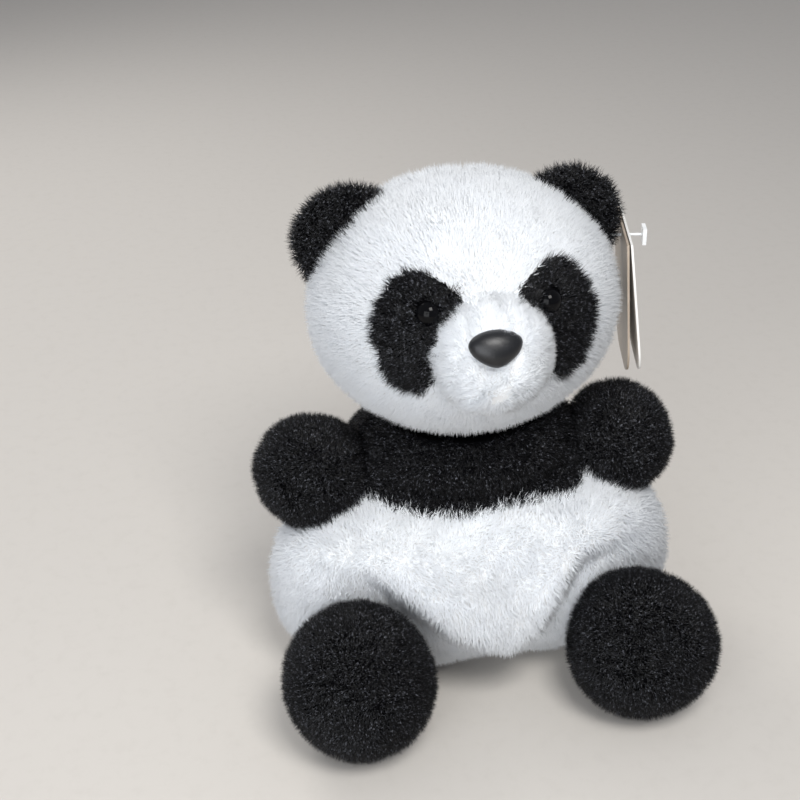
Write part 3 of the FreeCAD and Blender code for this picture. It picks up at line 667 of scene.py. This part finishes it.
@dataclass
class Head:
    """Head cover, eye patches and their pile."""

    patch_middle: tuple = (15.8 * MM, 98.6 * MM)
    patch_angles: tuple = (-180, -150, -120, -90, -70, -45, -25, 0, 30, 50, 67, 90, 118, 144, 160, 180)
    patch_reach: tuple = (9.0, 7.5, 9.0, 14.2, 13.2, 10.2, 9.0, 8.7, 8.6, 9.2, 10.8, 12.4, 12.4, 12.4, 10.4, 9.0)
    seam_depth: float = 0.8 * MM
    seam_y: float = 17.0 * MM
    middle: tuple = field(init=False)
    half: tuple = field(init=False)
    muzzle: tuple = field(init=False)
    muzzle_half: tuple = field(init=False)
    eyes: list = field(init=False)

    def __post_init__(self) -> None:
        """Read the head's, muzzle's and eyes' places from the frame."""
        self.middle, self.half = middle_and_half("head_front_cover", "head_back_cover")
        self.muzzle, self.muzzle_half = middle_and_half("muzzle_cover")
        self.eyes = [np.array(middle_and_half(f"eye_{side.word}")[0]) for side in Side]

    def depth(self, places: np.ndarray) -> np.ndarray:
        """Signed distance of the head's cloth: an egg with a seam across the ears."""
        shape = egg_depth(places, self.middle, self.half)
        return shape + self.seam_depth * bell(places[:, 1] - self.seam_y, 1.6 * MM)

    def patch_level(self, places: np.ndarray) -> np.ndarray:
        """Below 1 inside either eye patch, as seen from the front."""
        level = np.full(len(places), 9.0)
        for side in Side:
            outwards = places[:, 0] * side.value - self.patch_middle[0]
            up = places[:, 2] - self.patch_middle[1]
            angle = np.degrees(np.arctan2(up, outwards))
            reach = np.interp(angle, self.patch_angles, self.patch_reach) * MM
            level = np.minimum(level, np.hypot(outwards, up) / reach)
        return np.where(places[:, 1] < self.seam_y, level, 9.0)

    def under_muzzle(self, places: np.ndarray) -> np.ndarray:
        """Below 1 where the muzzle covers the face."""
        across = (places[:, 0] - self.muzzle[0]) / self.muzzle_half[0]
        up = (places[:, 2] - self.muzzle[2] - 1.5 * MM) / (self.muzzle_half[2] + 1 * MM)
        return np.where(places[:, 1] < self.middle[1], np.hypot(across, up), 9.0)

    def white_grows(self, roots: np.ndarray) -> np.ndarray:
        """White pile grows everywhere but on the patches and under the muzzle."""
        return ((self.patch_level(roots) > 1.0) & (self.under_muzzle(roots) > 1.0)).astype(float)

    def black_grows(self, roots: np.ndarray) -> np.ndarray:
        """Black pile grows on the patches, clear of the eyes."""
        clear = np.ones(len(roots), bool)
        for eye in self.eyes:
            clear &= np.linalg.norm(roots - eye, axis=1) > 2.1 * MM
        return ((self.patch_level(roots) <= 1.0) & (self.under_muzzle(roots) > 0.9) & clear).astype(float)

    def comb(self, roots: np.ndarray) -> np.ndarray:
        """Pile brushed out from the muzzle, over the crown and down the back."""
        out = unit(roots - np.array((0.0, self.muzzle[1], self.muzzle[2] + 1 * MM)))
        down = np.array((0.0, 0.3, -1.0))
        behind = np.clip((roots[:, 1] - self.middle[1]) / (14 * MM), 0, 1)[:, None]
        return out * (1 - behind) + down * behind

    def make(self) -> None:
        """Build the head cover and the patches, and lay their pile."""
        form = egg_mesh(6)
        cast_skin(form, self.middle, self.depth, 60 * MM)
        cover = finish_object(form, "head_cover", WHITE_CLOTH)
        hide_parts("head_front_cover", "head_back_cover", "head_stuffing")
        white = lay_pile("head_pile", cover, WHITE_COAT, self.comb, WHITE_PILE, Seed.HEAD,
                         self.white_grows)
        dress([cover, *white], "head")
        for side in Side:
            self.make_patch(cover, side)

    def make_patch(self, cover: bpy.types.Object, side: Side) -> None:
        """Cut one patch out of the cover's shape and lay its black pile."""
        form = bmesh.new()
        form.from_mesh(cover.data)
        outside = [
            face for face in form.faces
            if face.calc_center_median().x * side.value < 0
            or self.patch_level(np.array([face.calc_center_median()[:]]))[0] > 1.0
        ]
        bmesh.ops.delete(form, geom=outside, context="FACES")
        for vertex in form.verts:
            vertex.co += vertex.normal * 0.12 * MM
        bmesh.ops.solidify(form, geom=form.faces[:], thickness=0.4 * MM)
        patch = finish_object(form, f"eye_patch_{side.word}_cloth", BLACK_CLOTH)
        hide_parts(f"eye_patch_{side.word}")

        def this_side(roots: np.ndarray) -> np.ndarray:
            """Black pile on this side's patch only."""
            return self.black_grows(roots) * (roots[:, 0] * side.value > 0)

        coat = Pile(density=22, length=3.5 * MM, width=0.11 * MM, lean=0.55, stray=0.28, tuft=0.35, softness=0.0)
        pile = lay_pile(f"eye_patch_{side.word}_pile", cover, coat, self.comb, BLACK_PILE,
                        Seed.PATCH + side.value, this_side)
        dress([patch, *pile], "head")


@dataclass
class Muzzle:
    """Stuffed muzzle with a longer nap, and the moulded nose on it."""

    chin_depth: float = 1.0 * MM
    swell: tuple = (0.9 * MM, 1.6 * MM, 2.3 * MM)
    lift: float = 2.2 * MM
    rim: float = 2.6
    star_drop: float = 5.5 * MM
    nose_half: tuple = (5.7 * MM, 4.1 * MM, 2.9 * MM)
    nose_tilt: float = 28.0

    def make(self) -> None:
        """Build the muzzle's cover, nap and nose."""
        middle, half = middle_and_half("muzzle_cover")
        half = tuple(np.array(half) + self.swell)
        core = (middle[0], middle[1] + half[1], middle[2] + self.lift)
        star = np.array((0.0, middle[1] - half[1], middle[2] - self.star_drop))

        def depth(places: np.ndarray) -> np.ndarray:
            """Signed distance of the muzzle: a round pad with a full rim and a dip at the chin's star."""
            offset = np.abs(places - np.array(core)) / np.array((half[0], half[1] * 2.0, half[2]))
            flat = np.hypot(offset[:, 0], offset[:, 2])
            level = (flat ** self.rim + offset[:, 1] ** self.rim) ** (1 / self.rim)
            shape = (level - 1) * half[0]
            return shape + self.chin_depth * bell(np.linalg.norm(places - star, axis=1), 3.0 * MM)

        form = egg_mesh(5)
        cast_skin(form, core, depth, 40 * MM)
        cover = finish_object(form, "muzzle_cloth", WHITE_CLOTH)
        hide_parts("muzzle_cover", "muzzle_stuffing")
        nose_low, nose_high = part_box("nose")
        nose_place = np.array((-1.0 * MM, nose_low[1] + 1.1 * MM, nose_high[2] - 4.0 * MM))

        def grows(roots: np.ndarray) -> np.ndarray:
            """Nap on the front of the muzzle, clear of the nose."""
            front = roots[:, 1] < core[1] + 1 * MM
            away = np.hypot((roots[:, 0] - nose_place[0]) / (4.9 * MM), (roots[:, 2] - nose_place[2]) / (3.4 * MM)) > 1
            return (front & away).astype(float)

        nap = Pile(density=24, length=2.5 * MM, width=0.14 * MM, lean=1.05, tuft=0.6, tuft_size=1.6 * MM, softness=0.4)

        def outwards(roots: np.ndarray) -> np.ndarray:
            """Nap brushed out from the star under the nose, so that it overhangs the muzzle's rim."""
            return unit((roots - star) * np.array((1.0, 0.0, 1.0)))

        pile = lay_pile("muzzle_pile", cover, nap, outwards, WHITE_PILE, Seed.MUZZLE, grows)
        dress([cover, *pile], "head")
        self.make_nose(nose_place)

    def make_nose(self, place: np.ndarray) -> None:
        """A soft-cornered triangle domed at the front."""
        form = bmesh.new()
        bmesh.ops.create_uvsphere(form, u_segments=64, v_segments=40, radius=1.0)
        points = read_points(form)
        across, up, out = points[:, 0], points[:, 1], points[:, 2]
        taper = 1.0 + 0.30 * up - 0.10 * up ** 2
        square = np.sign(up) * np.abs(up) ** 0.92
        shaped = np.column_stack([across * taper, square * (1 - 0.10 * across ** 2 * (up > 0)), out])
        write_points(form, shaped * np.array(self.nose_half))
        tilt = math.radians(90 - self.nose_tilt)
        bmesh.ops.rotate(form, verts=form.verts, cent=(0, 0, 0), matrix=Matrix.Rotation(tilt, 3, "X"))
        bmesh.ops.translate(form, verts=form.verts, vec=Vector(place))
        nose = finish_object(form, "nose_moulding", NOSE_SATIN)
        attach(nose, "head")
        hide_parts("nose")


@dataclass
class Ear:
    """One padded ear, cupped a little forwards."""

    side: Side
    cup: float = 1.2 * MM
    radius: float = 12.4 * MM

    def make(self) -> None:
        """Build the ear's cover and pile."""
        word = self.side.word
        low, high = span(f"ear_{word}_front_panel", f"ear_{word}_back_panel")
        head_egg = middle_and_half("head_front_cover", "head_back_cover")
        outer = high.x if self.side is Side.LEFT else -low.x
        middle = np.array(((outer - self.radius) * self.side.value, (low.y + high.y) / 2, high.z - self.radius))
        half = np.array((self.radius, (high.y - low.y) / 2, self.radius))
        form = egg_mesh(5)
        points = unit(read_points(form))
        rim = np.hypot(points[:, 0], points[:, 2])
        points = points * half
        points[:, 1] += self.cup * (rim ** 2) - self.cup * 0.5
        write_points(form, points + middle)
        cover = finish_object(form, f"ear_{word}_cloth", BLACK_CLOTH)
        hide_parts(f"ear_{word}_front_panel", f"ear_{word}_back_panel")

        def outside_head(roots: np.ndarray) -> np.ndarray:
            """No pile where the ear's root is inside the head."""
            return (egg_depth(roots, *head_egg) > 0).astype(float)

        pile = lay_pile(f"ear_{word}_pile", cover, BLACK_COAT, upright, BLACK_PILE, Seed.EAR + self.side.value,
                        outside_head)
        dress([cover, *pile], f"ear_{word}")


@dataclass
class Torso:
    """Black yoke over a white belly, sagging between the legs, with the bowl that the head sits in."""

    seat_middle: tuple = (0.0, 5.0 * MM, 24.0 * MM)
    seat_deep_high: tuple = (27.7 * MM, 27.2 * MM)
    yoke: tuple = ((0.0, 14.0 * MM, 50.0 * MM), (31.2 * MM, 23.7 * MM, 18.8 * MM))
    bowl: tuple = ((0.0, 13.5 * MM, 93.0 * MM), (37.5 * MM, 35.0 * MM, 33.4 * MM))
    side_gap: float = 0.3 * MM
    arm_gap: float = 0.6 * MM
    waist: float = 7 * MM
    hem_z: float = 50.0 * MM
    hem_bow: float = 0.0012
    hem_drop: float = 2.4
    hem_wave: float = 0.5 * MM
    hem_groove: float = 1.5 * MM
    core: tuple = (0.0, 9.0 * MM, 34.0 * MM)
    corner: float = 2.5
    tuck_z: float = 42.5 * MM
    parting: float = 5.5 * MM
    tip: tuple = (3.0, 15.5)
    flap_left: tuple = ((-30, 38), (-18, 29), (-9.5, 21))
    flap_right: tuple = ((22, 37), (15, 29), (9, 19.5))
    flap_rise: float = 3.2 * MM
    flap_soft: float = 0.7 * MM
    crotch_sink: float = 4.2 * MM
    tuck_depth: float = 0.7 * MM
    tuck_bow: float = 0.003
    roll_z: float = 57 * MM
    roll_bow: float = 0.004
    roll_rise: float = 1.6 * MM
    under_roll: float = 1.2 * MM
    cloth: float = 0.8 * MM
    seat: tuple = field(init=False)
    arms: list = field(init=False)

    def __post_init__(self) -> None:
        """Read the seat's width and the arms' places from the frame."""
        seat_low, seat_high = span("belly_cover", "back_cover", "base_panel")
        wide = (seat_high.x - seat_low.x) / 2 - self.side_gap
        self.seat = (self.seat_middle, (wide, *self.seat_deep_high))
        self.arms = [middle_and_half(f"arm_{side.word}_front_panel", f"arm_{side.word}_back_panel") for side in Side]

    def hem(self, places: np.ndarray) -> np.ndarray:
        """Height of each place over the seam between yoke and belly."""
        across = places[:, 0] / MM
        front = np.clip((10 * MM - places[:, 1]) / (20 * MM), 0, 1)
        drop = (self.hem_bow * across ** 2 + self.hem_drop) * front
        return places[:, 2] - self.hem_z + drop * MM - self.hem_wave * np.sin(across / 5.0)

    def boxy(self, places: np.ndarray) -> np.ndarray:
        """Signed distance of the seat: an egg with fuller corners at the sides."""
        offset = np.abs((places - np.array(self.seat[0])) / np.array(self.seat[1]))
        flat = (offset[:, 0] ** self.corner + offset[:, 2] ** self.corner) ** (2 / self.corner)
        near = np.sqrt(flat + offset[:, 1] ** 2)
        return (near - 1) * egg_depth_scale(places, *self.seat)

    def flap_edge(self, places: np.ndarray) -> np.ndarray:
        """Height of each place over the lower edge of the belly's hanging flap, in metres."""
        across = places[:, 0] / MM
        line = [*self.flap_left, self.tip, *reversed(self.flap_right)]
        edge = np.interp(across, [point[0] for point in line], [point[1] for point in line])
        return places[:, 2] - edge * MM

    def depth(self, places: np.ndarray) -> np.ndarray:
        """Signed distance of the torso's cloth."""
        across, back, up = places.T
        whole = blend_in(self.boxy(places), egg_depth(places, *self.yoke), self.waist)
        front = np.clip(-back / (8 * MM) + 0.2, 0, 1)
        over = self.flap_edge(places)
        inside = 1 / (1 + np.exp(-over / self.flap_soft))
        belly = bell(across - 1 * MM, 27 * MM) * front
        whole -= self.flap_rise * inside * bell(over - 3 * MM, 13 * MM) * belly
        whole += self.crotch_sink * (1 - inside) * bell(across - 1 * MM, 24 * MM) * front
        whole += self.hem_groove * bell(self.hem(places), 1.5 * MM)
        tuck = up - self.tuck_z - self.tuck_bow / MM * across ** 2
        whole += self.tuck_depth * bell(tuck, 1.8 * MM) * front * bell(across, 30 * MM)
        roll = up - (self.roll_z + self.roll_bow / MM * across ** 2)
        whole -= self.roll_rise * bell(roll, 2.8 * MM) * front
        whole += self.under_roll * bell(roll + 4.6 * MM, 1.6 * MM) * front
        whole = np.maximum(whole, -egg_depth(places, *self.bowl))
        for middle, half in self.arms:
            whole = np.maximum(whole, -egg_depth(places, middle, tuple(np.array(half) + self.arm_gap)))
        return np.maximum(whole, 0.5 * MM - up)

    def make(self) -> None:
        """Build the yoke and the belly, and lay their pile."""
        form = egg_mesh(6)
        bmesh.ops.subdivide_edges(form, edges=form.edges[:], cuts=1, use_grid_fill=True)
        cast_skin(form, self.core, self.depth, 90 * MM)
        whole = finish_object(form, "torso_whole", WHITE_CLOTH)
        yoke = self.zone(whole, "yoke_cloth", BLACK_CLOTH, above=True)
        belly = self.zone(whole, "belly_cloth", WHITE_CLOTH, above=False)
        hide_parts("yoke_cover")
        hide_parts("belly_cover", "back_cover", "base_panel", "body_stuffing")

        def open_air(roots: np.ndarray) -> np.ndarray:
            """Roots clear of the table and the arms."""
            clear = roots[:, 2] > 0.9 * MM
            for middle, half in self.arms:
                clear &= egg_depth(roots, middle, half) > 1.0 * MM
            return clear

        def black(roots: np.ndarray) -> np.ndarray:
            """Black pile above the hem, but not in the head's bowl."""
            return (open_air(roots) & (self.hem(roots) > 0) & (egg_depth(roots, *self.bowl) > 0.3 * MM)).astype(float)

        def white(roots: np.ndarray) -> np.ndarray:
            """White pile below the hem."""
            return (open_air(roots) & (self.hem(roots) <= 0)).astype(float)

        def yoke_comb(roots: np.ndarray) -> np.ndarray:
            """Pile brushed down and a little outwards."""
            return unit(np.column_stack([roots[:, 0] * 0.3 / MM, np.zeros(len(roots)), np.full(len(roots), -9.0)]))

        def rim(roots: np.ndarray) -> np.ndarray:
            """Longer strands along the hem."""
            return 1.0 + 0.45 * bell(self.hem(roots), 2.0 * MM)

        short = Pile(density=13, length=2.6 * MM, width=0.125 * MM, lean=0.7, stray=0.26, softness=0.0)
        black_pile = lay_pile("yoke_pile", whole, short, yoke_comb, BLACK_PILE, Seed.YOKE, black)
        white_pile = lay_pile("belly_pile", whole, WHITE_COAT, self.belly_comb, WHITE_PILE, Seed.BELLY, white,
                              rim)
        dress([yoke, *black_pile], "torso")
        dress([belly, *white_pile], "torso")
        bpy.data.objects.remove(whole)

    def belly_comb(self, roots: np.ndarray) -> np.ndarray:
        """Pile brushed up over the hem, down to the flap's tip elsewhere, and upright where the two meet."""
        up = np.tanh((self.hem(roots) + self.parting) / (3.5 * MM))
        inward = -(roots[:, 0] - self.tip[0] * MM) / (90 * MM)
        side = np.clip(np.abs(roots[:, 0]) / (30 * MM) - 0.8, 0, 0.5) * np.sign(roots[:, 0])
        return np.column_stack([inward + side, np.zeros(len(roots)), up])

    def zone(self, whole: bpy.types.Object, name: str, material: bpy.types.Material, above: bool) -> bpy.types.Object:
        """Cut the torso's skin at the hem and give one part the cloth's thickness."""
        form = bmesh.new()
        form.from_mesh(whole.data)
        centres = np.array([face.calc_center_median()[:] for face in form.faces])
        over = self.hem(centres) > 0
        form.faces.ensure_lookup_table()
        drop = [face for face, high in zip(form.faces, over) if high != above]
        bmesh.ops.delete(form, geom=drop, context="FACES")
        bmesh.ops.solidify(form, geom=form.faces[:], thickness=self.cloth)
        return finish_object(form, name, material)


@dataclass
class Neck:
    """The padded wad between head and yoke, covered in the yoke's black cloth."""

    share: float = 0.94

    def make(self) -> None:
        """Build the wad as an egg inside the frame's own."""
        middle, half = middle_and_half("neck_stuffing")
        form = egg_mesh(4)
        write_points(form, unit(read_points(form)) * np.array(half) * self.share + np.array(middle))
        wad = finish_object(form, "neck_wad", BLACK_CLOTH)
        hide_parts("neck_stuffing")
        dress([wad], "neck")


@dataclass
class Limb:
    """A stuffed black ball: an arm's or a foot's, gathered to a dimple where its panels meet."""

    body: str
    nodes: tuple
    name: str
    dimple: tuple
    hidden_in: tuple
    dimple_depth: float = 1.6 * MM
    seed: int = 61
    lump: float = 0.035
    lump_pitch: float = 1.9
    dimple_width: float = 0.28

    def make(self) -> None:
        """Build the ball and lay its pile."""
        middle, half = middle_and_half(*self.nodes)
        aim = unit(np.array(self.dimple))
        form = egg_mesh(6)
        points = unit(read_points(form))
        angle = np.arccos(np.clip(points @ aim, -1, 1))
        sunk = 1.0 - self.dimple_depth / half[0] * bell(angle, self.dimple_width)
        lumps = np.random.default_rng(self.seed).normal(size=(4, 3)) * self.lump_pitch
        sunk += self.lump * np.sin(points @ lumps.T + lumps[:, 0]).mean(1) * 2
        points = points * sunk[:, None] * np.array(half)
        points[:, 2] = np.maximum(points[:, 2] + middle[2], 0.5 * MM) - middle[2]
        write_points(form, points + np.array(middle))
        cover = finish_object(form, f"{self.name}_cloth", BLACK_CLOTH)
        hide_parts(*self.nodes)
        pile = lay_pile(f"{self.name}_pile", cover, BLACK_COAT, upright, BLACK_PILE, self.seed, self.open_air)
        dress([cover, *pile], self.body)

    def open_air(self, roots: np.ndarray) -> np.ndarray:
        """No pile where the ball is sewn to the body."""
        return (egg_depth(roots, *self.hidden_in) > 0).astype(float)


@dataclass
class Sleeve:
    """White thigh between the belly and a foot."""

    side: Side

    def make(self) -> None:
        """Build the thigh's cover and pile."""
        word = self.side.word
        middle, half = middle_and_half(f"leg_{word}_sleeve")
        form = egg_mesh(5)
        points = unit(read_points(form)) * np.array(half)
        write_points(form, points + np.array(middle))
        cover = finish_object(form, f"leg_{word}_sleeve_cloth", WHITE_CLOTH)
        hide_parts(f"leg_{word}_sleeve")

        def front(roots: np.ndarray) -> np.ndarray:
            """Pile on the half of the thigh outside the belly."""
            return (roots[:, 1] < middle[1] + 2 * MM).astype(float)

        def forwards(roots: np.ndarray) -> np.ndarray:
            """Pile brushed towards the foot."""
            return np.tile((0.0, -1.0, 0.2), (len(roots), 1))

        pile = lay_pile(f"leg_{word}_sleeve_pile", cover, WHITE_COAT, forwards, WHITE_PILE,
                        Seed.SLEEVE + self.side.value, front)
        dress([cover, *pile], f"leg_{word}")


def dress_frame_nodes() -> None:
    """Give the frame's own nodes that stay their finishes."""
    finishes = {
        "eye_left": EYE_GLOSS, "eye_right": EYE_GLOSS,
        "eye_washer_left": WASHER, "eye_washer_right": WASHER, "nose_washer": WASHER,
        "pellet_sack": SACK_CLOTH, "seat_pellets": PELLETS,
        "tag_back_card": CARD_PRINT, "tag_front_card": CARD_EDGE, "tag_fastener": NYLON, "care_label": SATIN,
    }
    for node, material in finishes.items():
        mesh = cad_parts[node].data
        mesh.materials.clear()
        mesh.materials.append(material)


# ---------------------------------------------------------------- studio


@dataclass(frozen=True)
class Lamp:
    """One soft area light: place, edge length, power and colour."""

    name: str
    place: tuple
    size: float
    power: float
    colour: tuple


@dataclass
class Studio:
    """Pale floor, soft lights and the camera."""

    lamps: tuple = (
        Lamp("key", (0.05, -0.30, 0.50), 0.20, 2.0, (1.0, 0.985, 0.96)),
        Lamp("fill", (-0.35, -0.55, 0.22), 0.5, 3.0, (0.95, 0.97, 1.0)),
        Lamp("rim", (-0.25, 0.45, 0.45), 0.35, 1.3, (1.0, 0.98, 0.95)),
    )
    aim: tuple = (0.0, 0.0, 0.06)
    room_colour: tuple = (0.9, 0.93, 1.0, 1.0)
    room_strength: float = 0.44
    target: tuple = (-14.2 * MM, 23.8 * MM, 61.9 * MM)
    distance: float = 334.3 * MM
    azimuth: float = -9.3
    elevation: float = 29.5
    roll: float = -1.8
    field_of_view: float = 34.0

    def make(self) -> None:
        """Set up floor, lights, world and camera."""
        self.floor()
        for lamp in self.lamps:
            self.light(lamp)
        world = bpy.data.worlds.new("soft_room")
        world.use_nodes = True
        world.node_tree.nodes["Background"].inputs["Color"].default_value = self.room_colour
        world.node_tree.nodes["Background"].inputs["Strength"].default_value = self.room_strength
        bpy.context.scene.world = world
        bpy.context.scene.view_settings.view_transform = "Standard"
        self.camera()

    def floor(self) -> None:
        """A pale floor that curves up behind the toy."""
        form = bmesh.new()
        bmesh.ops.create_grid(form, x_segments=1, y_segments=1, size=1.6)
        back = [edge for edge in form.edges if all(vertex.co.y > 1.5 for vertex in edge.verts)]
        wall = bmesh.ops.extrude_edge_only(form, edges=back)["geom"]
        raised = [item for item in wall if isinstance(item, bmesh.types.BMVert)]
        bmesh.ops.translate(form, verts=raised, vec=(0, 0, 1.6))
        bmesh.ops.bevel(form, geom=back, offset=0.6, offset_type="OFFSET", segments=16, profile=0.5,
                        affect="EDGES", material=-1)
        finish = MouldedFinish("pale_floor", (0.60, 0.57, 0.53), (0.58, 0.55, 0.51), rough=0.8, grain_scale=300.0)
        floor = finish_object(form, "floor", finish.material())

    def light(self, lamp: Lamp) -> None:
        """Put up one lamp, aimed at the toy."""
        data = bpy.data.lights.new(lamp.name, "AREA")
        data.size = lamp.size
        data.energy = lamp.power
        data.color = lamp.colour
        holder = bpy.data.objects.new(lamp.name, data)
        holder.location = lamp.place
        holder.rotation_euler = (Vector(self.aim) - Vector(lamp.place)).to_track_quat("-Z", "Y").to_euler()
        bpy.context.collection.objects.link(holder)

    def camera(self) -> None:
        """The camera, looking down at the toy from its right."""
        azimuth, elevation = math.radians(self.azimuth), math.radians(self.elevation)
        level = math.cos(elevation)
        back = Vector((math.sin(azimuth) * level, -math.cos(azimuth) * level, math.sin(elevation)))
        lens = bpy.data.cameras.new("camera")
        lens.angle = math.radians(self.field_of_view)
        lens.clip_start = 0.01
        camera = bpy.data.objects.new("camera", lens)
        camera.location = Vector(self.target) + back * self.distance
        turn = (-back).to_track_quat("-Z", "Y").to_matrix() @ Matrix.Rotation(math.radians(self.roll), 3, "Z")
        camera.rotation_euler = turn.to_euler()
        bpy.context.collection.objects.link(camera)
        bpy.context.scene.camera = camera


def main() -> None:
    """Build every piece in order."""
    logging.basicConfig(level=logging.INFO, format="%(name)s: %(message)s")
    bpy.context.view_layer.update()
    Studio().make()
    dress_frame_nodes()
    Head().make()
    Muzzle().make()
    for side in Side:
        Ear(side).make()
    torso = Torso()
    torso.make()
    Neck().make()
    for side in Side:
        word, sign = side.word, side.value
        arm_nodes = tuple(f"arm_{word}_{part}" for part in ("front_panel", "back_panel", "stuffing"))
        Limb(f"arm_{word}", arm_nodes, f"arm_{word}", (sign * 0.3, -1.0, 0.25), torso.yoke, seed=Seed.ARM + sign).make()
        foot_nodes = (f"foot_{word}_cover", f"foot_{word}_pellets")
        sleeve = middle_and_half(f"leg_{word}_sleeve")
        Limb(f"leg_{word}", foot_nodes, f"foot_{word}", (sign * 0.05, -0.85, 0.45), sleeve, seed=Seed.LEG + sign).make()
        Sleeve(side).make()


if __name__ == "__main__":
    main()
